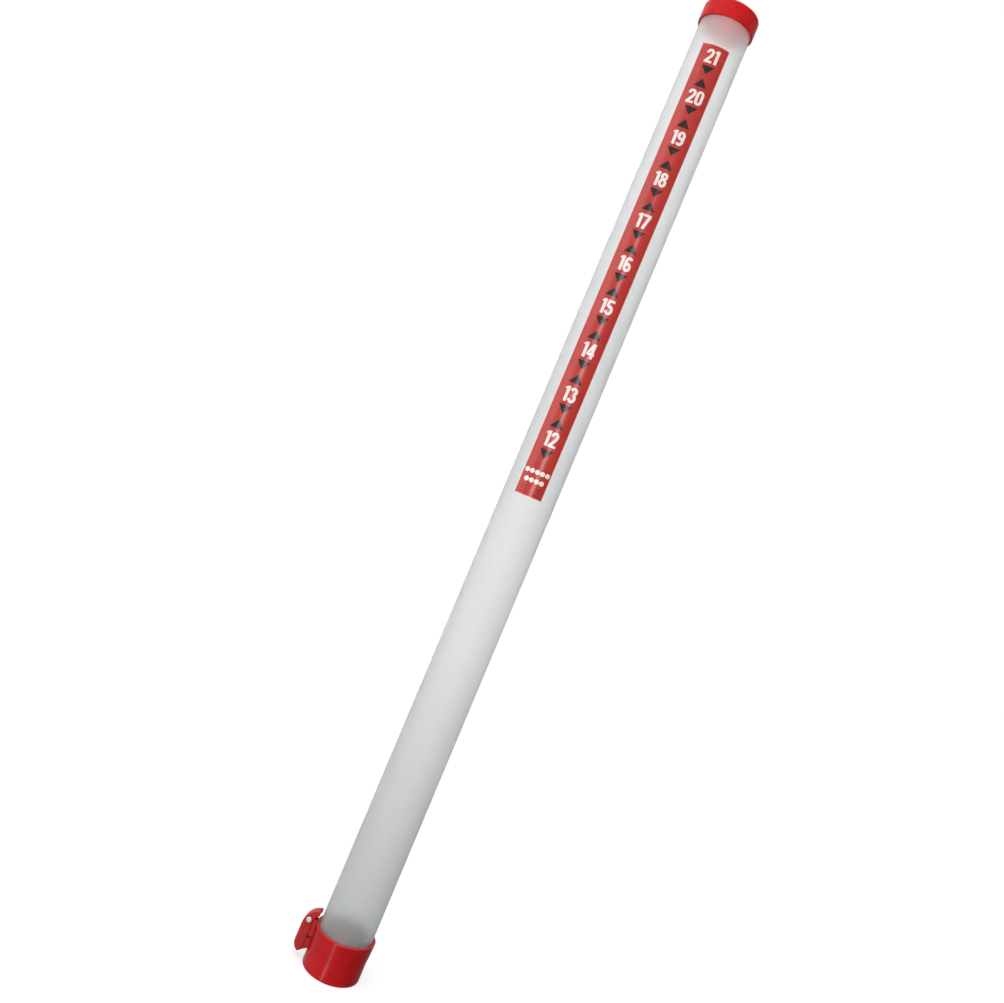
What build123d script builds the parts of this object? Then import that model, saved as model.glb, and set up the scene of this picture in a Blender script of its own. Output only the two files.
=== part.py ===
"""A golf ball collecting tube: push it over a ball and a sprung catch keeps the ball inside.

The origin is the centre of the collar's resting face, and +Z runs up along the tube.
The catch lever is on the -X side, and the scale label faces -Y.  All sizes are millimetres.
"""
import math
import os

from build123d import *

# What the tube carries
ball_diameter = 42.67

# The whole object
overall_length = 968.0

# Tube
tube_outer_diameter = 50.8
tube_wall = 2.0
tube_edge_break = 0.4

# Fits
bond_clearance = 0.1
seat_clearance = 0.1
running_clearance = 0.08
side_clearance = 0.3

# Cap
cap_height = 18.0
cap_wall = 2.0
cap_roof = 2.4
cap_edge_radius = 2.2
cap_mouth_chamfer = 0.5

# Collar
collar_height = 37.0
shoulder_height = 21.4
ring_wall = 4.1
sleeve_wall = 2.35
rim_wall = 3.2
rim_bevel = 1.3
rim_edge_radius = 0.6
foot_edge_radius = 1.2
mouth_chamfer = 1.0

# Catch lever and its pivot, placed from the collar
pivot_standoff = 8.1
pivot_drop = 1.8
back_standoff = 5.3
hood_rise = 8.4
hood_curve_height = 15.0
hood_overhang = 7.8
hood_lip_height = 4.2
lever_width = 10.0
flange_thickness = 1.3
web_thickness = 1.2
flange_overhang = 3.8
flange_notch_height = 1.8
lever_tip_height = 5.1
lever_tip_overhang = 0.2
heel_height = 9.5
lever_corner_radius = 0.9
lever_edge_radius = 0.5
toe_width = 6.0
toe_drop = 2.1
toe_bite = 6.4
hood_web_gap = 1.2
ramp_angle = 33.6
window_margin = 0.6

# Ears on the collar
ear_thickness = 1.2
ear_radius = 2.6
ear_root_height = 14.4
ear_root_depth = 4.4

# Pivot screw and nut
screw_diameter = 2.5
head_diameter = 5.0
head_height = 1.5
head_edge_radius = 0.6
slot_width = 0.6
slot_depth = 0.7
slot_turn = 45.0
screw_tail = 0.4
nut_across_flats = 5.0
nut_thickness = 2.0

# Torsion spring
spring_wire = 0.8
spring_mean_diameter = 4.0
spring_bend_diameter = 0.86
spring_pitch = 0.86
spring_whole_turns = 3
spring_start_angle = 150.0
spring_end_angle = 225.0
spring_seat_gap = 0.1

# Scale label
label_thickness = 0.2
label_gap = 0.02
label_bottom = 467.5
label_length = 454.0
label_width = 28.0

# Worked out from the sizes above
tube_radius = tube_outer_diameter / 2
bore_radius = tube_radius - tube_wall
socket_radius = tube_radius + bond_clearance
ring_radius = bore_radius + ring_wall
sleeve_radius = socket_radius + sleeve_wall
rim_radius = socket_radius + rim_wall
cap_inner_radius = tube_radius + bond_clearance
cap_outer_radius = cap_inner_radius + cap_wall
tube_top = overall_length - cap_roof - seat_clearance
tube_length = tube_top - shoulder_height

pivot_reach = ring_radius + pivot_standoff
pivot_height = collar_height - pivot_drop
lever_reach = pivot_reach + back_standoff
lever_top = collar_height + hood_rise
lever_tip_reach = pivot_reach - lever_tip_overhang
flange_inner = pivot_reach - flange_overhang
hood_inner = pivot_reach - hood_overhang
toe_top = shoulder_height - toe_drop
cavity_half_width = lever_width / 2 - flange_thickness
ear_outer = cavity_half_width - side_clearance
ear_inner = ear_outer - ear_thickness
toe_tip = bore_radius - toe_bite
root_inner = ring_radius + side_clearance
ramp_slope = math.tan(math.radians(ramp_angle))


def ramp_height(reach):
    """Height of the catch's sloping underside at a distance from the tube's axis."""
    return lever_tip_height + (lever_tip_reach - reach) * ramp_slope


os.makedirs("parts", exist_ok=True)


# Tube: an extruded plastic pipe, cut square at both ends
with BuildPart() as tube:
    with BuildSketch(Plane.XY.offset(shoulder_height)):
        Circle(tube_radius)
        Circle(bore_radius, mode=Mode.SUBTRACT)
    extrude(amount=tube_length)
    tube_rims = tube.edges().filter_by(GeomType.CIRCLE).filter_by(lambda e: e.radius > bore_radius + 0.1)
    chamfer(tube_rims, length=tube_edge_break)
tube.part.label = "tube"


# Top cap: a moulded cup pushed over the tube's upper end
with BuildPart() as top_cap:
    with BuildSketch(Plane.XY.offset(overall_length - cap_height)):
        Circle(cap_outer_radius)
    extrude(amount=cap_height)
    cap_edges = top_cap.edges().filter_by(GeomType.CIRCLE).sort_by(Axis.Z)
    fillet(cap_edges[-1], radius=cap_edge_radius)
    with BuildSketch(Plane.XY.offset(overall_length - cap_height)):
        Circle(cap_inner_radius)
    extrude(amount=cap_height - cap_roof, mode=Mode.SUBTRACT)
    cap_mouth = top_cap.edges().filter_by(GeomType.CIRCLE).group_by(Axis.Z)[0].sort_by(SortBy.RADIUS)[0]
    chamfer(cap_mouth, length=cap_mouth_chamfer)
top_cap.part.label = "top_cap"


# Collar: a moulded ring that holds the tube on an inner shoulder and carries the catch
with BuildPart() as collar:
    with BuildSketch(Plane.XZ):
        with BuildLine():
            Polyline(
                (bore_radius + mouth_chamfer, 0),
                (ring_radius, 0),
                (ring_radius, shoulder_height),
                (sleeve_radius, shoulder_height),
                (rim_radius, collar_height),
                (socket_radius + rim_bevel, collar_height),
                (socket_radius, collar_height - rim_bevel),
                (socket_radius, shoulder_height),
                (bore_radius, shoulder_height),
                (bore_radius, mouth_chamfer),
                close=True,
            )
        make_face()
    revolve(axis=Axis.Z)
    round_edges = collar.edges().filter_by(GeomType.CIRCLE)
    foot_edge = round_edges.group_by(Axis.Z)[0].sort_by(SortBy.RADIUS)[-1]
    rim_edge = round_edges.group_by(Axis.Z)[-1].sort_by(SortBy.RADIUS)[-1]
    fillet(foot_edge, radius=foot_edge_radius)
    fillet(rim_edge, radius=rim_edge_radius)

    # two ears that hold the pivot screw, with the spring between them
    ear_root = (socket_radius + rim_radius) / 2
    for side in (-1, 1):
        ear_middle = side * (ear_inner + ear_outer) / 2
        with BuildSketch(Plane.XZ.offset(-ear_middle)):
            with Locations((-pivot_reach, pivot_height)):
                Circle(ear_radius)
            with Locations((-ear_root, collar_height - rim_bevel)):
                Rectangle(ear_root_depth, ear_root_height, align=(Align.MAX, Align.MAX))
            make_hull()
        extrude(amount=ear_thickness / 2, both=True)
    with BuildSketch(Plane.XZ):
        with Locations((-pivot_reach, pivot_height)):
            Circle(screw_diameter / 2 + running_clearance)
    extrude(amount=lever_width, both=True, mode=Mode.SUBTRACT)

    # window that the catch's toe swings through
    window_floor = ramp_height(ring_radius) - window_margin
    window_height = toe_top + window_margin - window_floor
    with BuildSketch(Plane.XY.offset(window_floor)):
        with Locations((-(bore_radius + ring_radius) / 2, 0)):
            Rectangle(2 * ring_wall, toe_width + 2 * window_margin)
    extrude(amount=window_height, mode=Mode.SUBTRACT)
collar.part.label = "collar"


# Catch lever: a moulded channel over the ears, with a thumb hood on top and a toe at the bottom
with BuildPart() as catch_lever:
    with BuildSketch(Plane.XZ) as lever_side:
        with BuildLine():
            back = Line(
                (-lever_reach, lever_tip_height + heel_height),
                (-lever_reach, lever_top - hood_curve_height),
            )
            hood = TangentArc(back @ 1, (-hood_inner, lever_top), tangent=(0, 1))
            heel = TangentArc(back @ 0, (-lever_tip_reach, lever_tip_height), tangent=(0, -1))
            Polyline(
                heel @ 1,
                (-flange_inner, ramp_height(flange_inner)),
                (-flange_inner, pivot_height + flange_notch_height),
                (-hood_inner, lever_top - hood_lip_height),
                hood @ 1,
            )
        make_face()
        outline_corners = lever_side.vertices().filter_by(lambda v: v.X > -lever_reach + web_thickness)
        fillet(outline_corners, radius=lever_corner_radius)
    extrude(amount=lever_width / 2, both=True)
    lever_sides = catch_lever.faces().filter_by(Axis.Y)
    fillet(lever_sides.edges(), radius=lever_edge_radius)

    # the channel: the side outline moved in by the web, and run out through the open side
    with BuildSketch(Plane.XZ):
        add(offset(lever_side.sketch_local, amount=-web_thickness, mode=Mode.PRIVATE))
        with Locations((hood_overhang, 0)):
            add(offset(lever_side.sketch_local, amount=-web_thickness, mode=Mode.PRIVATE))
        make_hull()
        with Locations((-pivot_reach, toe_top)):
            Rectangle(
                4 * back_standoff,
                lever_top,
                align=(Align.CENTER, Align.MAX),
                mode=Mode.SUBTRACT,
            )
        with Locations((-hood_inner - hood_web_gap, lever_top - hood_lip_height)):
            Rectangle(2 * hood_web_gap, 2 * hood_lip_height, align=Align.MIN)
    extrude(amount=cavity_half_width, both=True, mode=Mode.SUBTRACT)

    # the root of the toe, as wide as the channel, stops against the collar
    with BuildSketch(Plane.XZ):
        with BuildLine():
            Polyline(
                (-lever_reach + web_thickness, ramp_height(lever_tip_reach) + 4),
                (-lever_tip_reach, lever_tip_height + lever_edge_radius),
                (-root_inner, ramp_height(root_inner)),
                (-root_inner, toe_top),
                (-lever_reach + web_thickness, toe_top),
                close=True,
            )
        make_face()
    extrude(amount=cavity_half_width, both=True)

    # the toe, which reaches through the window under the lowest ball
    with BuildSketch(Plane.XZ):
        with BuildLine():
            Polyline(
                (-root_inner - 1, ramp_height(root_inner + 1)),
                (-toe_tip, ramp_height(toe_tip)),
                (-toe_tip, toe_top),
                (-root_inner - 1, toe_top),
                close=True,
            )
        make_face()
    extrude(amount=toe_width / 2, both=True)

    with BuildSketch(Plane.XZ):
        with Locations((-pivot_reach, pivot_height)):
            Circle(screw_diameter / 2 + label_gap)
    extrude(amount=lever_width, both=True, mode=Mode.SUBTRACT)
catch_lever.part.label = "catch_lever"


# Pivot screw: a slotted pan head on the near flange, its shank through lever and ears
shank_length = lever_width + nut_thickness + screw_tail
head_plane = Plane(
    origin=(-pivot_reach, -lever_width / 2, pivot_height),
    x_dir=(1, 0, 0),
    z_dir=(0, -1, 0),
)
with BuildPart() as pivot_screw:
    with BuildSketch(head_plane):
        Circle(head_diameter / 2)
    extrude(amount=head_height)
    fillet(pivot_screw.faces().sort_by(Axis.Y)[0].edges(), radius=head_edge_radius)
    with BuildSketch(head_plane):
        Circle(screw_diameter / 2)
    extrude(amount=-shank_length)
    with BuildSketch(head_plane.offset(head_height)):
        Rectangle(2 * head_diameter, slot_width, rotation=-slot_turn)
    extrude(amount=-slot_depth, mode=Mode.SUBTRACT)
pivot_screw.part.label = "pivot_screw"


# Pivot nut: a small hexagon nut against the far flange
nut_plane = Plane(
    origin=(-pivot_reach, lever_width / 2, pivot_height),
    x_dir=(1, 0, 0),
    z_dir=(0, 1, 0),
)
with BuildPart() as pivot_nut:
    with BuildSketch(nut_plane):
        RegularPolygon(nut_across_flats / 2, 6, major_radius=False)
        Circle(screw_diameter / 2 + label_gap, mode=Mode.SUBTRACT)
    extrude(amount=nut_thickness)
pivot_nut.part.label = "pivot_nut"


# Return spring: a torsion coil round the screw, one leg up under the hood, one down to the collar
coil_radius = spring_mean_diameter / 2
coil_turns = spring_whole_turns + (spring_end_angle - spring_start_angle) / 360
coil_length = spring_pitch * coil_turns
pivot_point = Vector(-pivot_reach, 0, pivot_height)


def round_pivot(angle):
    """Unit vector in the XZ plane, turned from +X towards +Z."""
    return Vector(math.cos(math.radians(angle)), 0, math.sin(math.radians(angle)))


coil_plane = Plane(
    origin=pivot_point + Vector(0, coil_length / 2, 0),
    x_dir=round_pivot(spring_start_angle),
    z_dir=(0, -1, 0),
)
hood_leg_way = round_pivot(spring_start_angle - 90)
hood_leg_root = pivot_point + round_pivot(spring_start_angle) * coil_radius
hood_leg_root += Vector(0, coil_length / 2, 0)
wall_leg_way = round_pivot(spring_end_angle + 90)
wall_leg_root = pivot_point + round_pivot(spring_end_angle) * coil_radius
wall_leg_root -= Vector(0, coil_length / 2, 0)

# the hood's inner face is an arc, in the side sketch's own x and y: the object's x and z
hood_centre = Vector(hood.arc_center.X, 0, hood.arc_center.Y)
hood_face_radius = hood.radius - web_thickness - spring_wire / 2 - spring_seat_gap
leg_offset = Vector(hood_leg_root.X, 0, hood_leg_root.Z) - hood_centre
leg_along = leg_offset.dot(hood_leg_way)
leg_across = leg_offset.dot(leg_offset) - hood_face_radius**2
hood_leg_length = -leg_along + math.sqrt(leg_along**2 - leg_across)

wall_taper = (rim_radius - sleeve_radius) / (collar_height - shoulder_height)
wall_start = sleeve_radius + (wall_leg_root.Z - shoulder_height) * wall_taper
wall_run = -wall_leg_root.X - wall_start - spring_wire / 2 - spring_seat_gap
wall_leg_length = wall_run / (wall_leg_way.X + wall_leg_way.Z * wall_taper)

with BuildLine() as coil_line:
    Helix(pitch=spring_pitch, height=coil_length, radius=coil_radius)
coil_path = coil_line.line.moved(coil_plane.location)

with BuildPart() as return_spring:
    with BuildSketch(Plane(origin=coil_path @ 0, z_dir=coil_path % 0)):
        Circle(spring_wire / 2)
    sweep(path=coil_path, is_frenet=True)
    with Locations(hood_leg_root, wall_leg_root):
        Sphere(spring_bend_diameter / 2)
    with BuildSketch(Plane(origin=hood_leg_root, z_dir=hood_leg_way)):
        Circle(spring_wire / 2)
    extrude(amount=hood_leg_length)
    with BuildSketch(Plane(origin=wall_leg_root, z_dir=wall_leg_way)):
        Circle(spring_wire / 2)
    extrude(amount=wall_leg_length)
return_spring.part.label = "return_spring"


# Scale label: a printed vinyl strip wrapped round the front of the tube
label_angle = math.degrees(label_width / tube_radius)
with BuildPart() as scale_label:
    with BuildSketch(Plane.XZ.rotated((0, 0, -90 - label_angle / 2))):
        with Locations((tube_radius + label_gap + label_thickness / 2, label_bottom)):
            Rectangle(label_thickness, label_length, align=(Align.CENTER, Align.MIN))
    revolve(axis=Axis.Z, revolution_arc=label_angle)
scale_label.part.label = "scale_label"


for piece in (
    tube,
    top_cap,
    collar,
    catch_lever,
    pivot_screw,
    pivot_nut,
    return_spring,
    scale_label,
):
    export_step(piece.part, f"parts/{piece.part.label}.step")
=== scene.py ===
import math

import bmesh
import bpy
import numpy as np
from mathutils import Matrix, Vector


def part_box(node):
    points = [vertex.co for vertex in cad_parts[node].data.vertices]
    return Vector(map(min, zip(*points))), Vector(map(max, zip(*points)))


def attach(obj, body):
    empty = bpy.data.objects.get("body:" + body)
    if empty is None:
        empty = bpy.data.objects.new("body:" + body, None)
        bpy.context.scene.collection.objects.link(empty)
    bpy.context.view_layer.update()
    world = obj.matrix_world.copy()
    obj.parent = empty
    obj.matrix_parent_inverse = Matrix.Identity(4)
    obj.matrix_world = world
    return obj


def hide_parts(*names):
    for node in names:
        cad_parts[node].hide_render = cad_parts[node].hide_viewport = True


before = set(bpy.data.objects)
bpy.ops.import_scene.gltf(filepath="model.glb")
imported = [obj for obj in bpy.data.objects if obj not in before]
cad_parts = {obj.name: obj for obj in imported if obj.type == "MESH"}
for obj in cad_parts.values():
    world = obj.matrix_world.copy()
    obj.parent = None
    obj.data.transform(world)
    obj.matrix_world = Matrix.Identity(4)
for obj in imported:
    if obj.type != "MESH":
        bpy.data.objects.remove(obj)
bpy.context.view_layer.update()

# ---------------------------------------------------------------------------------------------
# Foot collar. A thick glossy red moulding that the tube is pushed into: the balls enter through
# its mouth, and its two ears carry the catch. Injection moulded polypropylene, solid colour.
# ---------------------------------------------------------------------------------------------
MM = 0.001
RED_FACE = "#B81117"         # the even colour of the moulding
RED_FLOW = "#AA0D13"         # faintly darker swirls where the melt met
RED_SCUFF = "#B02A2E"        # paler rub where the foot is pressed on the grass
COLLAR_GLOSS = 0.2
SCUFF_TOP = 6 * MM
RED_SWIRL = 14 * MM          # size of the swirls
RED_GRAIN = 2.2 * MM         # size of the patches of more and less gloss
RED_SPECK = 1.1 * MM         # size of the scuffed specks
RED_PEEL = 1.6 * MM          # orange-peel skin, drawn this coarse so that it shows
CUP_PAINTED_GLOW_TINT = "#FF6E69"         # painted glow: the red of daylight that has come through a thin red wall
# strength of the painted glow on the cup's inner faces
CUP_PAINTED_GLOW = 0.2
CUP_PAINTED_GLOW_FADE = 0.4 * MM          # the painted glow ends within this much of the cup's inner faces


def linear(hex_colour):
    """An sRGB hex colour as linear RGBA: c/12.92 under 0.04045, else ((c + 0.055)/1.055)^2.4."""
    c = np.array([int(hex_colour[i:i + 2], 16) for i in (1, 3, 5)]) / 255
    c = np.where(c <= 0.04045, c / 12.92, ((c + 0.055) / 1.055) ** 2.4)
    return (*c.tolist(), 1.0)


def add_node(tree, kind, feeds=None, **settings):
    """Adds one shader node, sets its settings, and links or fills the sockets named in feeds."""
    node = tree.nodes.new("ShaderNode" + kind)
    for name, value in settings.items():
        setattr(node, name, value)
    for socket, value in (feeds or {}).items():
        if isinstance(value, bpy.types.NodeSocket):
            tree.links.new(value, node.inputs[socket])
        else:
            node.inputs[socket].default_value = value
    return node


def new_material(name):
    """A material with an empty node tree, and its Object coordinates."""
    material = bpy.data.materials.new(name)
    material.use_nodes = True
    tree = material.node_tree
    tree.nodes.clear()
    return material, tree, add_node(tree, "TexCoord").outputs["Object"]


def glossy_red(name, face, flow, gloss, scuff_top=None, sheen=0.35, cup=None):
    """Moulded polypropylene: an even strong red under a soft gloss. The eye sees wide, slightly
    blurred highlights, a very fine orange-peel skin, and the faintest swirls in the colour. A cup,
    given by its inner radius and the height of its roof, gets a painted glow: its inner faces emit
    a faint red that stands in for daylight coming through its thin wall and tinting the milky tube
    that stands in it."""
    material, tree, where = new_material(name)
    swirl = add_node(tree, "TexNoise", {"Vector": where, "Scale": 1 / RED_SWIRL, "Detail": 3,
                                        "Distortion": 1.2})
    tone = add_node(tree, "MapRange", {0: swirl.outputs[0], 1: 0.35, 2: 0.7})
    colour = add_node(tree, "Mix", {0: tone.outputs[0], 6: linear(face), 7: linear(flow)},
                      data_type="RGBA").outputs[2]
    fine = add_node(tree, "TexNoise", {"Vector": where, "Scale": 1 / RED_GRAIN, "Detail": 4})
    rough = add_node(tree, "MapRange", {0: fine.outputs[0], 1: 0.3, 2: 0.7,
                                        3: gloss - 0.03, 4: gloss + 0.05}).outputs[0]
    if scuff_top:
        height = add_node(tree, "SeparateXYZ", {0: where}).outputs["Z"]
        low = add_node(tree, "MapRange", {0: height, 1: scuff_top, 2: 0.0, 3: 0.0, 4: 1.0})
        specks = add_node(tree, "TexNoise", {"Vector": where, "Scale": 1 / RED_SPECK,
                                             "Detail": 5, "Roughness": 0.7})
        spots = add_node(tree, "MapRange", {0: specks.outputs[0], 1: 0.56, 2: 0.74,
                                            3: 0.0, 4: 0.55})
        wear = add_node(tree, "Math", {0: low.outputs[0], 1: spots.outputs[0]},
                        operation="MULTIPLY").outputs[0]
        colour = add_node(tree, "Mix", {0: wear, 6: colour, 7: linear(RED_SCUFF)},
                          data_type="RGBA").outputs[2]
        rough = add_node(tree, "Math", {0: wear, 1: 0.4, 2: rough},
                         operation="MULTIPLY_ADD").outputs[0]
    skin = add_node(tree, "TexNoise", {"Vector": where, "Scale": 1 / RED_PEEL, "Detail": 1})
    bump = add_node(tree, "Bump", {"Height": skin.outputs[0], "Strength": 0.05,
                                   "Distance": 0.05 * MM})
    shader = add_node(tree, "BsdfPrincipled", {
        "Base Color": colour, "Roughness": rough, "Normal": bump.outputs[0],
        "IOR": 1.49, "Specular IOR Level": sheen})
    # Painted glow: a faint red emission on the cup's inner faces, which stands in for daylight
    # coming through the thin wall.
    if cup:
        radius, roof = cup
        flat = add_node(tree, "Mapping", {"Vector": where, "Scale": (1, 1, 0)})
        out = add_node(tree, "VectorMath", {0: flat.outputs[0]}, operation="LENGTH")
        level = add_node(tree, "SeparateXYZ", {0: where}).outputs["Z"]
        within = add_node(tree, "MapRange", {0: out.outputs["Value"], 1: radius,
                                             2: radius + CUP_PAINTED_GLOW_FADE, 3: CUP_PAINTED_GLOW, 4: 0.0})
        under = add_node(tree, "MapRange", {0: level, 1: roof, 2: roof + CUP_PAINTED_GLOW_FADE, 3: 1.0, 4: 0.0})
        glow = add_node(tree, "Math", {0: within.outputs[0], 1: under.outputs[0]},
                        operation="MULTIPLY")
        shader.inputs["Emission Color"].default_value = linear(CUP_PAINTED_GLOW_TINT)
        tree.links.new(glow.outputs[0], shader.inputs["Emission Strength"])
    add_node(tree, "OutputMaterial", {"Surface": shader.outputs[0]})
    return material


def dress(node_name, material):
    """Puts a material in every slot of a CAD node that stays."""
    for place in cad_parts[node_name].material_slots:
        place.material = material


dress("collar", glossy_red("moulded_polypropylene_red", RED_FACE, RED_FLOW, COLLAR_GLOSS,
                           scuff_top=SCUFF_TOP))

# ---------------------------------------------------------------------------------------------
# Ball tube. Extruded milky polyethylene, sawn square at both ends with the edges broken. It is
# pushed into the collar below and the cap above, and holds a column of balls.
# ---------------------------------------------------------------------------------------------
TUBE_WALL = 2.0 * MM
TUBE_EDGE = 0.4 * MM
TUBE_SIDES = 256
MILKY_TOP = "#FAFBFB"        # the wall high up, where light gets in on every side
# Painted shade: below the top the wall's colour is greyed, darkest at the collar, where no light
# gets in.
MILKY_MID_SHADED = "#F0F1F1"
MILKY_LOW_SHADED = "#E0E1E1"
MILKY_FOOT_SHADED = "#DDE1E1"       # painted shade on the wall inside the collar
MILKY_STOPS = (0.02, 0.06, 0.32, 0.9)        # share of the tube's height for foot, low, mid, top
MILKY_CLOUD = 22 * MM        # size of the faint clouds in the wall
DIE_LINE = 1.6 * MM          # spacing of the extruder's lines, drawn this coarse so that they show
DIE_DRAW = 0.012             # and how little they change along the tube


def softened(corners, arc_points=6, longest=24 * MM):
    """The outline through corners (across, up, radius). At a corner that turns by t the line
    leaves at radius x tan(t/2) and follows an arc; a straight run is divided into equal parts,
    with one more point close to each of its ends so that the shading stays flat along it."""
    pts = [np.array(c[:2], float) for c in corners]
    radii = [c[2] for c in corners]
    closed = not (pts[0][0] == 0 and pts[-1][0] == 0)
    count = len(pts)
    bends = []
    for i, (p, r) in enumerate(zip(pts, radii)):
        if r == 0:
            bends.append(p[None])
            continue
        a, b = pts[i - 1] - p, pts[(i + 1) % count] - p
        a, b = a / np.linalg.norm(a), b / np.linalg.norm(b)
        half = math.acos(np.clip(a @ b, -1, 1)) / 2
        centre = p + (a + b) / np.linalg.norm(a + b) * r / math.sin(half)
        start, end = p + a * r / math.tan(half), p + b * r / math.tan(half)
        u, v = start - centre, end - centre
        sweep = math.pi - 2 * half
        t = np.linspace(0, 1, arc_points)[:, None]
        bends.append(centre + (np.sin((1 - t) * sweep) * u + np.sin(t * sweep) * v)
                     / math.sin(sweep))
    line = []
    for i in range(count if closed else count - 1):
        here, there = bends[i][-1], bends[(i + 1) % count][0]
        run = there - here
        length = float(np.linalg.norm(run))
        near = min(0.3 * MM, length / 4) / length
        steps = max(1, math.ceil(length / longest))
        share = np.concatenate([[near], np.linspace(near, 1 - near, steps + 1)[1:-1],
                                [1 - near]])[:, None]
        line += [bends[i], here + run * share]
    if not closed:
        line.append(bends[-1])
    return np.concatenate(line), closed


def make_piece(name, points, faces, material, uv=None):
    """One mesh object from arrays of points and faces, smooth, its normals outwards."""
    mesh = bpy.data.meshes.new(name)
    mesh.from_pydata(points.tolist(), [], faces.tolist())
    if uv is not None:
        corner = np.zeros(len(mesh.loops), np.int32)
        mesh.loops.foreach_get("vertex_index", corner)
        layer = mesh.uv_layers.new(name="flat_size")
        layer.data.foreach_set("uv", uv[corner].astype(np.float32).ravel())
    work = bmesh.new()
    work.from_mesh(mesh)
    bmesh.ops.remove_doubles(work, verts=work.verts, dist=1e-7)
    bmesh.ops.recalc_face_normals(work, faces=work.faces)
    work.to_mesh(mesh)
    work.free()
    mesh.shade_smooth()
    mesh.set_sharp_from_angle(angle=math.radians(38))
    mesh.materials.append(material)
    piece = bpy.data.objects.new(name, mesh)
    bpy.context.scene.collection.objects.link(piece)
    return piece


def turned(name, corners, sides, material):
    """A turned piece: each point (r, z) of the outline goes round the z axis, and at turn a it
    stands at (r cos a, r sin a, z)."""
    outline, closed = softened(corners)
    turn = np.arange(sides) * 2 * math.pi / sides
    r, z = outline[:, :1], outline[:, 1:]
    points = np.stack([r * np.cos(turn), r * np.sin(turn), z + 0 * turn], -1)
    rows = len(outline)
    index = np.arange(rows * sides).reshape(rows, sides)
    upper = np.roll(index, -1, 0) if closed else index[1:]
    lower = index if closed else index[:-1]
    faces = np.stack([lower, np.roll(lower, -1, 1), np.roll(upper, -1, 1), upper], -1)
    return make_piece(name, points.reshape(-1, 3), faces.reshape(-1, 4), material)


def milky_polyethylene():
    """Natural polyethylene tube: light goes into the wall and comes out soft, so things close
    behind it glow through. Its colour has painted shade that greys it toward the collar, where no
    light gets in. The extruder leaves faint lines along it."""
    material, tree, where = new_material("milky_polyethylene")
    height = add_node(tree, "SeparateXYZ", {0: where}).outputs["Z"]
    # Painted shade: a ramp by height from the milky top to greyer colours toward the collar.
    along = add_node(tree, "MapRange", {0: height, 1: tube_low.z, 2: tube_high.z})
    painted_shade_ramp = add_node(tree, "ValToRGB", {0: along.outputs[0]})
    stops = painted_shade_ramp.color_ramp.elements
    stops[0].position, stops[0].color = MILKY_STOPS[0], linear(MILKY_FOOT_SHADED)
    stops[1].position, stops[1].color = MILKY_STOPS[3], linear(MILKY_TOP)
    for place, colour in zip(MILKY_STOPS[1:3], (MILKY_LOW_SHADED, MILKY_MID_SHADED)):
        stops.new(place).color = linear(colour)
    drawn = add_node(tree, "Mapping", {"Vector": where, "Scale": (1, 1, DIE_DRAW)})
    lines = add_node(tree, "TexNoise", {"Vector": drawn.outputs[0], "Scale": 1 / DIE_LINE,
                                        "Detail": 3})
    cloud = add_node(tree, "TexNoise", {"Vector": where, "Scale": 1 / MILKY_CLOUD, "Detail": 2})
    mottle = add_node(tree, "MapRange", {0: cloud.outputs[0], 1: 0.3, 2: 0.7, 3: 0.985, 4: 1.0})
    colour = add_node(tree, "Mix", {0: 1.0, 6: painted_shade_ramp.outputs[0], 7: mottle.outputs[0]},
                      data_type="RGBA", blend_type="MULTIPLY").outputs[2]
    rough = add_node(tree, "MapRange", {0: lines.outputs[0], 1: 0.3, 2: 0.7,
                                        3: 0.38, 4: 0.45}).outputs[0]
    bump = add_node(tree, "Bump", {"Height": lines.outputs[0], "Strength": 0.15,
                                   "Distance": 0.06 * MM})
    # polyethylene has an IOR of 1.5; at 1.3 a rough thin wall keeps the real one's brightness
    shader = add_node(tree, "BsdfPrincipled", {
        "Base Color": colour, "Roughness": rough, "Normal": bump.outputs[0],
        "IOR": 1.3, "Specular IOR Level": 0.2, "Transmission Weight": 0.82})
    add_node(tree, "OutputMaterial", {"Surface": shader.outputs[0]})
    return material


tube_low, tube_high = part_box("tube")
tube_radius = tube_high.x
bore_radius = tube_radius - TUBE_WALL
tube_wall = turned("tube_wall", [
    (tube_radius, tube_low.z, TUBE_EDGE), (tube_radius, tube_high.z, TUBE_EDGE),
    (bore_radius, tube_high.z, TUBE_EDGE), (bore_radius, tube_low.z, TUBE_EDGE)],
    TUBE_SIDES, milky_polyethylene())
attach(tube_wall, "barrel")
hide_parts("tube")

# ---------------------------------------------------------------------------------------------
# Top cap. A cup of the collar's red polypropylene, with a thinner wall and a duller skin, pushed
# down over the tube. Its top edge has a generous round, and its mouth a small lead-in.
# ---------------------------------------------------------------------------------------------
CAP_WALL = 2.0 * MM
CAP_ROOF = 2.4 * MM
CAP_ROUND = 2.2 * MM
CAP_LEAD_IN = 0.5 * MM
CAP_SIDES = 192
CAP_FACE = "#D61A1D"
CAP_FLOW = "#C6161A"
CAP_GLOSS = 0.3
CAP_SHEEN = 0.2

cap_low, cap_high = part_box("top_cap")
cap_radius = cap_high.x
# The cap's red paints a faint glow on its inner faces, which stands in for daylight through its thin
# wall.
cap_shell = turned("cap_shell", [
    (0.0, cap_high.z, 0.0), (cap_radius, cap_high.z, CAP_ROUND),
    (cap_radius, cap_low.z, CAP_LEAD_IN), (cap_radius - CAP_WALL, cap_low.z, CAP_LEAD_IN),
    (cap_radius - CAP_WALL, cap_high.z - CAP_ROOF, CAP_LEAD_IN),
    (0.0, cap_high.z - CAP_ROOF, 0.0)],
    CAP_SIDES, glossy_red("moulded_cap_red", CAP_FACE, CAP_FLOW, CAP_GLOSS, sheen=CAP_SHEEN,
                          cup=(cap_radius - CAP_WALL, cap_high.z - CAP_ROOF)))
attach(cap_shell, "cap")
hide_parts("top_cap")

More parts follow.
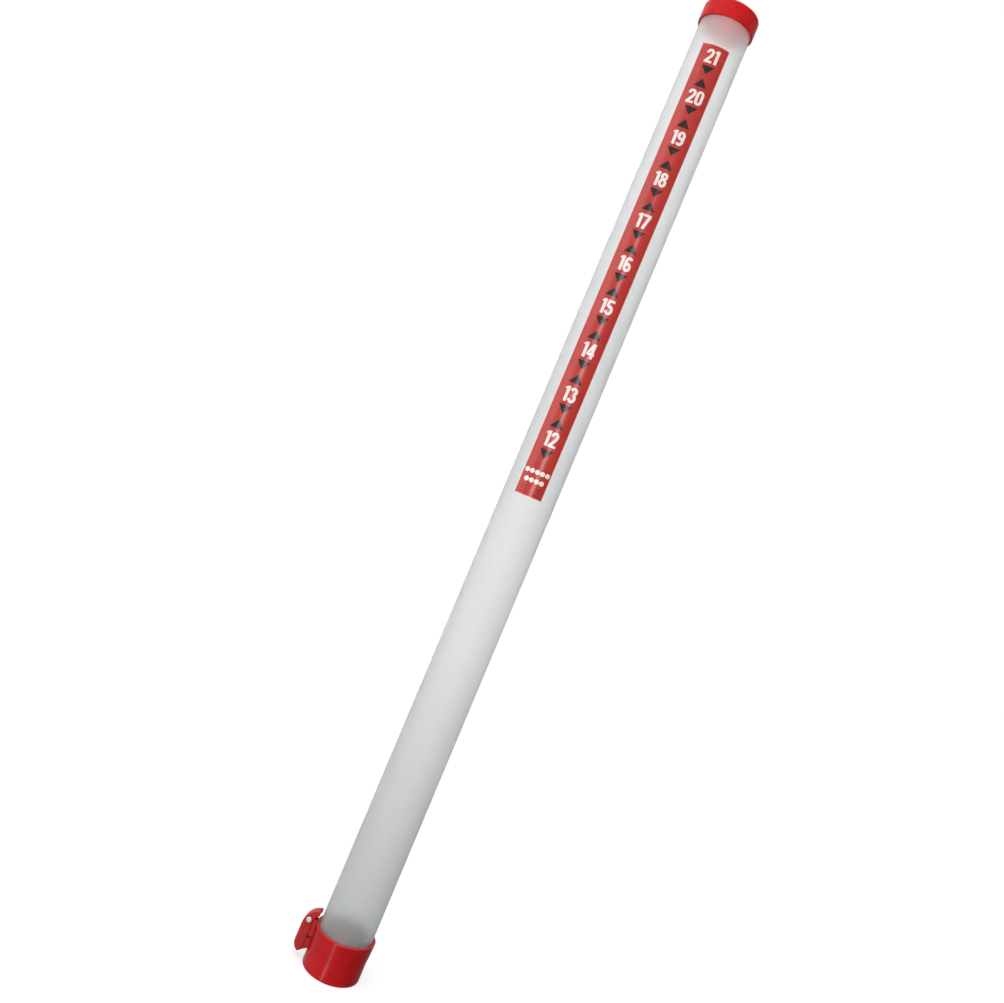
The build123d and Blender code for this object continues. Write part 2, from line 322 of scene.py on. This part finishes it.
# ---------------------------------------------------------------------------------------------
# Scale label. A long strip of glossy white vinyl, printed red up to a thin white margin and stuck
# along the tube. Each number says how many balls the tube holds when the top one stands there.
# ---------------------------------------------------------------------------------------------
LABEL_THICK = 0.2 * MM
LABEL_MARGIN = 0.65 * MM
MARGIN_EDGE = 0.05 * MM      # the ink's edge is sharp to this much
LABEL_ROWS, LABEL_COLUMNS = 226, 28
LABEL_RED = "#BE352E"
LABEL_RED_LOW = "#B43029"    # where the vinyl took the ink a little deeper
LABEL_WHITE = "#F3DCD7"
INK_CLOUD = 18 * MM          # size of the uneven patches in the ink
LAMINATE_RIPPLE = 7 * MM
VINYL_GRAIN = 0.8 * MM

label_low, label_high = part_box("scale_label")
label_radius = -label_low.y
label_half = math.asin(label_high.x / label_radius) * label_radius


def wrapped_strip(middle, half_width, bottom, top, across, closed=False):
    """A strip lying on the tube. Row i runs square across the path middle[i] = (s, z), half_width[i]
    to each side. The point (s, z) is laid on the cylinder at x = r sin(s/R), y = -r cos(s/R),
    once with r = top and once with r = bottom, and the two layers are joined round the rim."""
    ahead, behind = ((np.roll(middle, -1, 0), np.roll(middle, 1, 0)) if closed else
                     (np.vstack([middle[1:], middle[-1:]]), np.vstack([middle[:1], middle[:-1]])))
    tangent = ahead - behind
    tangent /= np.linalg.norm(tangent, axis=1, keepdims=True)
    normal = np.stack([-tangent[:, 1], tangent[:, 0]], 1)
    side = np.linspace(-1, 1, across + 1)[None, :, None]
    flat = middle[:, None] + normal[:, None] * np.asarray(half_width)[:, None, None] * side
    angle = flat[..., 0] / label_radius
    layers = [np.stack([r * np.sin(angle), -r * np.cos(angle), flat[..., 1]], -1)
              for r in (top, bottom)]
    rows, columns = flat.shape[:2]
    index = np.arange(2 * rows * columns).reshape(2, rows, columns)
    follow = np.roll(index, -1, 1) if closed else index[:, 1:]
    index = index if closed else index[:, :-1]
    skins = [np.stack([index[k, :, :-1], index[k, :, 1:], follow[k, :, 1:], follow[k, :, :-1]], -1)
             .reshape(-1, 4) for k in (0, 1)]
    rims = [np.stack([index[0, :, j], index[1, :, j], follow[1, :, j], follow[0, :, j]], -1)
            for j in (0, -1)]
    ends = []
    if not closed:
        for i in (0, -1):
            row = (index if i == 0 else follow)[:, i]
            ends.append(np.stack([row[0, :-1], row[0, 1:], row[1, 1:], row[1, :-1]], -1))
    return (np.concatenate([k.reshape(-1, 3) for k in layers]),
            np.concatenate(skins + rims + ends), np.concatenate([flat.reshape(-1, 2)] * 2))


def joined(strips):
    """The points, faces and flat places of several strips as one set, their numbers shifted on."""
    starts = np.cumsum([0] + [len(p) for p, _, _ in strips[:-1]])
    return (np.concatenate([p for p, _, _ in strips]),
            np.concatenate([f + s for (_, f, _), s in zip(strips, starts)]),
            np.concatenate([u for _, _, u in strips]))


def printed_vinyl():
    """Gloss vinyl with solvent ink: the ink sinks in a little unevenly, and the laminate over it
    has a slow ripple, so a long reflection breaks up along its edges."""
    material, tree, where = new_material("gloss_vinyl_printed_red")
    flat = add_node(tree, "UVMap", uv_map="flat_size").outputs[0]
    parts = add_node(tree, "SeparateXYZ", {0: flat})
    out = add_node(tree, "Math", {0: parts.outputs["X"]}, operation="ABSOLUTE").outputs[0]
    side = add_node(tree, "Math", {0: label_half, 1: out}, operation="SUBTRACT").outputs[0]
    foot = add_node(tree, "Math", {0: parts.outputs["Y"], 1: label_low.z},
                    operation="SUBTRACT").outputs[0]
    head = add_node(tree, "Math", {0: label_high.z, 1: parts.outputs["Y"]},
                    operation="SUBTRACT").outputs[0]
    nearest = add_node(tree, "Math", {0: foot, 1: head}, operation="MINIMUM").outputs[0]
    nearest = add_node(tree, "Math", {0: nearest, 1: side}, operation="MINIMUM").outputs[0]
    inked = add_node(tree, "MapRange", {0: nearest, 1: LABEL_MARGIN - MARGIN_EDGE,
                                        2: LABEL_MARGIN + MARGIN_EDGE}).outputs[0]
    cloud = add_node(tree, "TexNoise", {"Vector": where, "Scale": 1 / INK_CLOUD, "Detail": 3})
    tone = add_node(tree, "MapRange", {0: cloud.outputs[0], 1: 0.35, 2: 0.65}).outputs[0]
    ink = add_node(tree, "Mix", {0: tone, 6: linear(LABEL_RED), 7: linear(LABEL_RED_LOW)},
                   data_type="RGBA").outputs[2]
    colour = add_node(tree, "Mix", {0: inked, 6: linear(LABEL_WHITE), 7: ink},
                      data_type="RGBA").outputs[2]
    ripple = add_node(tree, "TexNoise", {"Vector": where, "Scale": 1 / LAMINATE_RIPPLE, "Detail": 1})
    bump = add_node(tree, "Bump", {"Height": ripple.outputs[0], "Strength": 0.10,
                                   "Distance": 0.2 * MM})
    fine = add_node(tree, "TexNoise", {"Vector": where, "Scale": 1 / VINYL_GRAIN, "Detail": 2})
    rough = add_node(tree, "MapRange", {0: fine.outputs[0], 1: 0.3, 2: 0.7,
                                        3: 0.20, 4: 0.26}).outputs[0]
    shader = add_node(tree, "BsdfPrincipled", {
        "Base Color": colour, "Roughness": rough, "Normal": bump.outputs[0], "IOR": 1.5,
        "Specular IOR Level": 0.5})
    add_node(tree, "OutputMaterial", {"Surface": shader.outputs[0]})
    return material


rows = np.linspace(label_low.z, label_high.z, LABEL_ROWS)
points, faces, flat_uv = wrapped_strip(
    np.stack([0 * rows, rows], 1), np.full(LABEL_ROWS, label_half),
    label_radius - LABEL_THICK, label_radius, LABEL_COLUMNS)
label_sheet = make_piece("label_sheet", points, faces, printed_vinyl(), flat_uv)
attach(label_sheet, "barrel")
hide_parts("scale_label")

# ---------------------------------------------------------------------------------------------
# Print on the label. White numbers 21 down to 12, a black arrowhead under each and over all but
# the first, and at the foot two rows of dots and six short bars. Screen ink with some body.
# ---------------------------------------------------------------------------------------------
INK_RISE = 0.03 * MM         # how far the ink stands off the vinyl
INK_SINK = 0.05 * MM         # how far its edge reaches down into it
FIRST_NUMBER, LAST_NUMBER = 21, 12
NUMBER_TOP = 909.8 * MM      # the middle of the first number
PITCH_TOP = 41.09 * MM       # spacing of the numbers at the top, which grows down the label
PITCH_GROWTH = 0.196 * MM
PITCH_MEAN = 42.9 * MM
DIGIT_TALL = 14.2
DIGIT_WIDE = 7.3
ONE_WIDE = 4.4
DIGIT_GAP = 0.6
ARROW_HALF = 6.4
ARROW_TALL = 8.5
ARROW_GAP_BELOW = 10.1       # from a number's middle to the flat of the arrowhead below it
ARROW_GAP_ABOVE = 10.8
PEN_LEVEL = 2.1              # width of a stroke that runs level
PEN_UPRIGHT_EXTRA = 0.6      # and what an upright one has on top
DOT_SIZE = 4.6
DOT_ROWS = ((491.4, (-10, -5, 0, 5, 10)), (483.0, (-7.5, -2.5, 2.5, 7.5)))
BAR_HALF_LONG = 3.4
BAR_PEN = 0.45
BAR_COLUMNS = (-6.6, 6.6)
BAR_HEIGHTS = (476.4, 473.6, 470.8)
MESH_GRAIN = 0.7 * MM        # mottle that the printing mesh leaves
INK_WHITE = "#F2E6E2"
INK_BLACK = "#1A1012"
INK_DARK_RED = "#8E1A1C"


def bow(cx, cy, rx, ry, start, end, count=18):
    """An elliptic arc about (cx, cy), from angle start to end in degrees: x = cx + rx cos a and
    y = cy + ry sin a, in millimetres."""
    a = np.radians(np.linspace(start, end, count))
    return np.stack([cx + rx * np.cos(a), cy + ry * np.sin(a)], 1)


def straight(x0, y0, x1, y1, count=5):
    """A straight stroke from (x0, y0) to (x1, y1), in millimetres."""
    return np.linspace((x0, y0), (x1, y1), count)


# Each digit is a few strokes of a broad pen in a box 7.3 wide and 14.2 tall, middle at (0, 7.1):
# (path, pen width or None for the usual one, closed)
stem = np.concatenate([straight(-2.35, 4.3, -2.35, 8.6, 4), bow(0.15, 9.3, 2.5, 3.8, 178, 38)])
DIGITS = {
    "0": [(np.concatenate([bow(0, 10.3, 2.35, 2.9, 0, 180), bow(0, 3.9, 2.35, 2.9, 180, 360)]),
           None, True)],
    "1": [(straight(0.75, 0, 0.75, 14.2), 2.9, False),
          (straight(-2.1, 11.6, 0.5, 13.4), 1.8, False)],
    "2": [(np.concatenate([bow(-0.05, 10.35, 2.35, 2.8, 190, -28),
                           straight(1.5, 7.2, -2.1, 1.7, 6)]), None, False),
          (straight(-3.6, 1.15, 3.6, 1.15), 2.3, False)],
    "3": [(bow(-0.15, 10.5, 2.35, 2.6, 172, -78, 22), None, False),
          (bow(-0.05, 4.2, 2.5, 3.15, 80, -170, 22), None, False)],
    "4": [(straight(0.9, 13.6, -2.7, 4.6), 2.2, False), (straight(-3.7, 4.2, 3.7, 4.2), 2.2, False),
          (straight(1.5, 0, 1.5, 14.2), 2.7, False)],
    "5": [(straight(-2.9, 13.1, 3.2, 13.1), 2.2, False),
          (straight(-2.1, 13.8, -2.3, 7.3), 2.3, False),
          (bow(-0.15, 4.5, 2.5, 3.45, 128, -165, 26), None, False)],
    "6": [(bow(0, 4.35, 2.35, 3.25, 0, 342, 20), None, True), (stem, None, False)],
    "7": [(straight(-3.6, 13.1, 3.6, 13.1), 2.2, False),
          (straight(2.4, 12.9, -1.0, 0.1), 2.7, False)],
    "8": [(bow(0, 10.55, 2.1, 2.6, 0, 342, 20), None, True),
          (bow(0, 4.25, 2.4, 3.2, 0, 342, 20), None, True)],
}
DIGITS["9"] = [((0, DIGIT_TALL) - path, pen, closed) for path, pen, closed in DIGITS["6"]]


def down_the_label(shape, number):
    """Puts a shape, millimetres about a number's middle, on the label. The printed column is
    drawn with an even pitch and then stretched: with k pitches below the first number,
    z = top - k x pitch - k^2 x growth."""
    k = (FIRST_NUMBER - number) - shape[:, 1] * MM / PITCH_MEAN
    z = NUMBER_TOP - PITCH_TOP * k - PITCH_GROWTH * k ** 2
    return np.stack([shape[:, 0] * MM, z], 1)


def ink(path, pen, closed=False, across=4):
    """A stroke of ink of the given half width along a path on the label."""
    return wrapped_strip(path, pen, label_radius - INK_SINK, label_radius + INK_RISE, across,
                         closed)


def printed_number(number):
    """The strokes of a number, its digits side by side and centred. A pen stroke is 2.1 mm wide
    where it runs level and 2.7 mm where it is upright."""
    text = str(number)
    wide = [ONE_WIDE if digit == "1" else DIGIT_WIDE for digit in text]
    left = -(sum(wide) + DIGIT_GAP * (len(text) - 1)) / 2
    strokes = []
    for digit, width in zip(text, wide):
        for path, pen, closed in DIGITS[digit]:
            if pen is None:
                run = np.gradient(path, axis=0)
                upright = np.abs(run[:, 1]) / np.linalg.norm(run, axis=1)
                pen = PEN_LEVEL + PEN_UPRIGHT_EXTRA * upright
            placed = path + (left + width / 2, -DIGIT_TALL / 2)
            half = np.broadcast_to(np.asarray(pen, float) / 2 * MM, len(path))
            strokes.append(ink(down_the_label(placed, number), half, closed))
        left += width + DIGIT_GAP
    return strokes


def arrowhead(number, flat_at, point_at):
    """A triangle whose half width falls evenly from the flat to the point."""
    path = straight(0, flat_at, 0, point_at, 9)
    half = ARROW_HALF * np.linspace(1, 0.004, 9) * MM
    return ink(down_the_label(path, number), half, across=14)


def dot(across, height, size):
    """A round dot: across its height h the half width is the root of radius^2 - h^2."""
    h = np.sin(np.linspace(-0.499, 0.499, 17) * math.pi) * size / 2
    half = np.sqrt((size / 2) ** 2 - h ** 2)
    return ink(np.stack([across + 0 * h, height + h], 1) * MM, half * MM, across=8)


def solvent_ink(name, hex_colour, speckle):
    """Screen ink under the laminate: opaque, a shade uneven where the mesh laid it thinner."""
    material, tree, where = new_material(name)
    mesh_print = add_node(tree, "TexNoise", {"Vector": where, "Scale": 1 / MESH_GRAIN,
                                             "Detail": 3})
    thin = add_node(tree, "MapRange", {0: mesh_print.outputs[0], 1: 0.45, 2: 0.75, 3: 0.0,
                                       4: speckle}).outputs[0]
    colour = add_node(tree, "Mix", {0: thin, 6: linear(hex_colour), 7: linear(LABEL_RED)},
                      data_type="RGBA").outputs[2]
    rough = add_node(tree, "MapRange", {0: mesh_print.outputs[0], 1: 0.3, 2: 0.7,
                                        3: 0.20, 4: 0.28}).outputs[0]
    shader = add_node(tree, "BsdfPrincipled", {"Base Color": colour, "Roughness": rough,
                                               "IOR": 1.5, "Specular IOR Level": 0.5})
    add_node(tree, "OutputMaterial", {"Surface": shader.outputs[0]})
    return material


numbers, arrows = [], []
for number in range(FIRST_NUMBER, LAST_NUMBER - 1, -1):
    numbers += printed_number(number)
    arrows.append(arrowhead(number, -ARROW_GAP_BELOW, -ARROW_GAP_BELOW - ARROW_TALL))
    if number != FIRST_NUMBER:
        arrows.append(arrowhead(number, ARROW_GAP_ABOVE, ARROW_GAP_ABOVE + ARROW_TALL))
dots = [dot(s, height, DOT_SIZE) for height, places in DOT_ROWS for s in places]
bars = [ink(straight(s - BAR_HALF_LONG, h, s + BAR_HALF_LONG, h) * MM, np.full(5, BAR_PEN * MM))
        for s in BAR_COLUMNS for h in BAR_HEIGHTS]
for name, strips, material in (
        ("label_numbers", numbers, solvent_ink("screen_ink_white", INK_WHITE, 0.06)),
        ("label_arrowheads", arrows, solvent_ink("screen_ink_black", INK_BLACK, 0.05)),
        ("label_dots", dots, solvent_ink("screen_ink_white_dots", INK_WHITE, 0.10)),
        ("label_bars", bars, solvent_ink("screen_ink_dark_red", INK_DARK_RED, 0.10))):
    points, faces, _ = joined(strips)
    printed = make_piece(name, points, faces, material)
    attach(printed, "barrel")

# ---------------------------------------------------------------------------------------------
# Catch lever. A one-piece red moulding that rocks on its screw between the collar's ears; its toe
# reaches through the collar's window under the lowest ball. Same plastic, a slightly darker batch.
# ---------------------------------------------------------------------------------------------
LEVER_FACE = "#B0141B"
LEVER_FLOW = "#9E0F16"
LEVER_GLOSS = 0.2

dress("catch_lever", glossy_red("moulded_lever_red", LEVER_FACE, LEVER_FLOW, LEVER_GLOSS))

# ---------------------------------------------------------------------------------------------
# Pivot screw and nut. A slotted pan-head machine screw and its hexagon nut, turned from mild
# steel and zinc plated: pale silver with a soft turned grain.
# ---------------------------------------------------------------------------------------------
ZINC_PALE = "#F2F0EE"
ZINC_DULL = "#D2D0CE"
PLATING_PATCH = 1.8 * MM     # size of the clouds in the plating
TOOL_MARK = 0.12 * MM        # spacing of the tool's marks


def plated_steel(name, pale, dull, rough_low, rough_high, grain):
    """Bright metal with fine tool marks: silver that clouds slightly, highlights drawn out."""
    material, tree, where = new_material(name)
    patch = add_node(tree, "TexNoise", {"Vector": where, "Scale": 1 / PLATING_PATCH, "Detail": 4})
    tone = add_node(tree, "MapRange", {0: patch.outputs[0], 1: 0.35, 2: 0.7}).outputs[0]
    colour = add_node(tree, "Mix", {0: tone, 6: linear(pale), 7: linear(dull)},
                      data_type="RGBA").outputs[2]
    squeezed = add_node(tree, "Mapping", {"Vector": where, "Scale": grain})
    marks = add_node(tree, "TexNoise", {"Vector": squeezed.outputs[0], "Scale": 1 / TOOL_MARK,
                                        "Detail": 2})
    rough = add_node(tree, "MapRange", {0: marks.outputs[0], 1: 0.3, 2: 0.7,
                                        3: rough_low, 4: rough_high}).outputs[0]
    bump = add_node(tree, "Bump", {"Height": marks.outputs[0], "Strength": 0.2,
                                   "Distance": 0.01 * MM})
    shader = add_node(tree, "BsdfPrincipled", {
        "Base Color": colour, "Metallic": 1.0, "Roughness": rough, "Normal": bump.outputs[0]})
    add_node(tree, "OutputMaterial", {"Surface": shader.outputs[0]})
    return material


zinc = plated_steel("zinc_plated_turned_steel", ZINC_PALE, ZINC_DULL, 0.38, 0.50, (1, 1, 0.15))
dress("pivot_screw", zinc)
dress("pivot_nut", zinc)

# ---------------------------------------------------------------------------------------------
# Return spring. Drawn spring wire wound by three turns round the pivot, one leg on the collar and
# one on the lever: greyer than the screw, with the die's lines along the wire.
# ---------------------------------------------------------------------------------------------
WIRE_PALE = "#B4B5B8"
WIRE_DULL = "#8C8D91"

dress("return_spring", plated_steel("drawn_spring_wire", WIRE_PALE, WIRE_DULL, 0.30, 0.42,
                                    (0.3, 1, 1)))

# ---------------------------------------------------------------------------------------------
# Floor and sky. A plain pale floor, lit from within so that it stays white, and a white studio
# sky. The milky wall sees the sky at full white; as a light it falls off to the right and below.
# ---------------------------------------------------------------------------------------------
FLOOR_RADIUS = 200
FLOOR_GREY = 0.88
FLOOR_LIT_SHARE = 0.6        # how much of the floor's brightness is its own
SKY_LEFT, SKY_RIGHT = 0.80, 0.23
SKY_BELOW = 0.35             # what is left of the sky's light from straight below
SKY_SEEN = 1.02

floor_mesh = bpy.data.meshes.new("floor")
ring = np.arange(96) * 2 * math.pi / 96
floor_mesh.from_pydata(np.stack([FLOOR_RADIUS * np.cos(ring), FLOOR_RADIUS * np.sin(ring),
                                 0 * ring], 1).tolist(), [], [list(range(96))])
floor = bpy.data.objects.new("floor", floor_mesh)
bpy.context.scene.collection.objects.link(floor)
floor_material, floor_tree, _ = new_material("pale_floor")
matte = add_node(floor_tree, "BsdfDiffuse", {"Color": (FLOOR_GREY, FLOOR_GREY, FLOOR_GREY, 1),
                                             "Roughness": 0.5})
lit = add_node(floor_tree, "Emission", {"Color": (1, 1, 1, 1), "Strength": 1.0})
paper = add_node(floor_tree, "MixShader", {0: FLOOR_LIT_SHARE, 1: matte.outputs[0],
                                           2: lit.outputs[0]})
add_node(floor_tree, "OutputMaterial", {"Surface": paper.outputs[0]})
floor_mesh.materials.append(floor_material)
floor.visible_diffuse = floor.visible_glossy = floor.visible_shadow = False

world = bpy.data.worlds.new("studio")
world.use_nodes = True
sky = world.node_tree
sky.nodes.clear()
facing = add_node(sky, "SeparateXYZ", {0: add_node(sky, "TexCoord").outputs["Generated"]})
side = add_node(sky, "MapRange", {0: facing.outputs["X"], 1: -0.7, 2: 0.9, 3: SKY_LEFT,
                                  4: SKY_RIGHT})
below = add_node(sky, "MapRange", {0: facing.outputs["Z"], 1: -0.8, 2: 0.4, 3: SKY_BELOW,
                                   4: 1.0})
fill = add_node(sky, "Math", {0: side.outputs[0], 1: below.outputs[0]}, operation="MULTIPLY")
rays = add_node(sky, "LightPath").outputs
seen = add_node(sky, "Math", {0: rays["Is Camera Ray"], 1: rays["Is Transmission Ray"]},
                operation="MAXIMUM")
strength = add_node(sky, "Mix", {0: seen.outputs[0], 2: fill.outputs[0], 3: SKY_SEEN},
                    data_type="FLOAT")
background = add_node(sky, "Background", {0: (1, 1, 1, 1), 1: strength.outputs[0]})
add_node(sky, "OutputWorld", {"Surface": background.outputs[0]})
bpy.context.scene.world = world
bpy.context.scene.view_settings.view_transform = "Standard"

# ---------------------------------------------------------------------------------------------
# Lights. A wide sun overhead, a broad key on the left, a tall narrow light in front that draws
# the long highlights, and a small low one for the collar, which shines through the floor.
# ---------------------------------------------------------------------------------------------
OVERHEAD_SPREAD = math.radians(70)
# name: where it stands, what it faces, watts, width and height, in metres
SOFT_BOXES = {
    "key_left": ((-1.3, -1.35, 1.0), (0, 0, 0.5), 7.5, 1.1, 1.6),
    "streak_front": ((0.14, -1.60, 0.50), (0, 0, 0.40), 10.0, 0.30, 1.5),
    "streak_low": ((-0.39, -1.55, -0.72), (0, 0, 0.02), 1.1, 0.10, 0.5),
}


def soft_light(name, kind, place, aim, power, **settings):
    """A light at a place, turned to face an aim point."""
    lamp = bpy.data.lights.new(name, kind)
    lamp.energy = power
    for key, value in settings.items():
        setattr(lamp, key, value)
    light = bpy.data.objects.new(name, lamp)
    light.location = place
    light.rotation_euler = (Vector(aim) - Vector(place)).to_track_quat("-Z", "Y").to_euler()
    bpy.context.scene.collection.objects.link(light)


soft_light("overhead", "SUN", (0, 0, 3), (0, 0.3, 0), 2.3, angle=OVERHEAD_SPREAD)
for name, (place, aim, power, wide, tall) in SOFT_BOXES.items():
    soft_light(name, "AREA", place, aim, power, shape="RECTANGLE", size=wide, size_y=tall)

# ---------------------------------------------------------------------------------------------
# Camera. It stands in front of the tube at nearly half its height, a little to the right and
# tilted up a little, and is rolled so that the upright tube leans across the picture.
# ---------------------------------------------------------------------------------------------
CAMERA_AZIMUTH = math.radians(4.0)
CAMERA_TILT = math.radians(2.4)
CAMERA_ROLL = math.radians(22.8)
CAMERA_AWAY = 0.900
CAMERA_HEIGHT = 0.4547
CAMERA_SENSOR = 36.0
CAMERA_LENS = 34.54
CAMERA_SHIFT = (-0.03712, -0.02815)

level = Vector((-math.sin(CAMERA_AZIMUTH), math.cos(CAMERA_AZIMUTH), 0))
sky_up = Vector((0, 0, 1))
look = level * math.cos(CAMERA_TILT) + sky_up * math.sin(CAMERA_TILT)
upright = sky_up * math.cos(CAMERA_TILT) - level * math.sin(CAMERA_TILT)
sideways = look.cross(upright)
right = sideways * math.cos(CAMERA_ROLL) + upright * math.sin(CAMERA_ROLL)
up = upright * math.cos(CAMERA_ROLL) - sideways * math.sin(CAMERA_ROLL)
camera_data = bpy.data.cameras.new("camera")
camera_data.sensor_width = CAMERA_SENSOR
camera_data.lens = CAMERA_LENS
camera_data.shift_x, camera_data.shift_y = CAMERA_SHIFT
camera = bpy.data.objects.new("camera", camera_data)
turn = Matrix((right, up, -look)).transposed().to_4x4()
stand = -level * CAMERA_AWAY + sky_up * CAMERA_HEIGHT
camera.matrix_world = Matrix.Translation(stand) @ turn
bpy.context.scene.collection.objects.link(camera)
bpy.context.scene.camera = camera
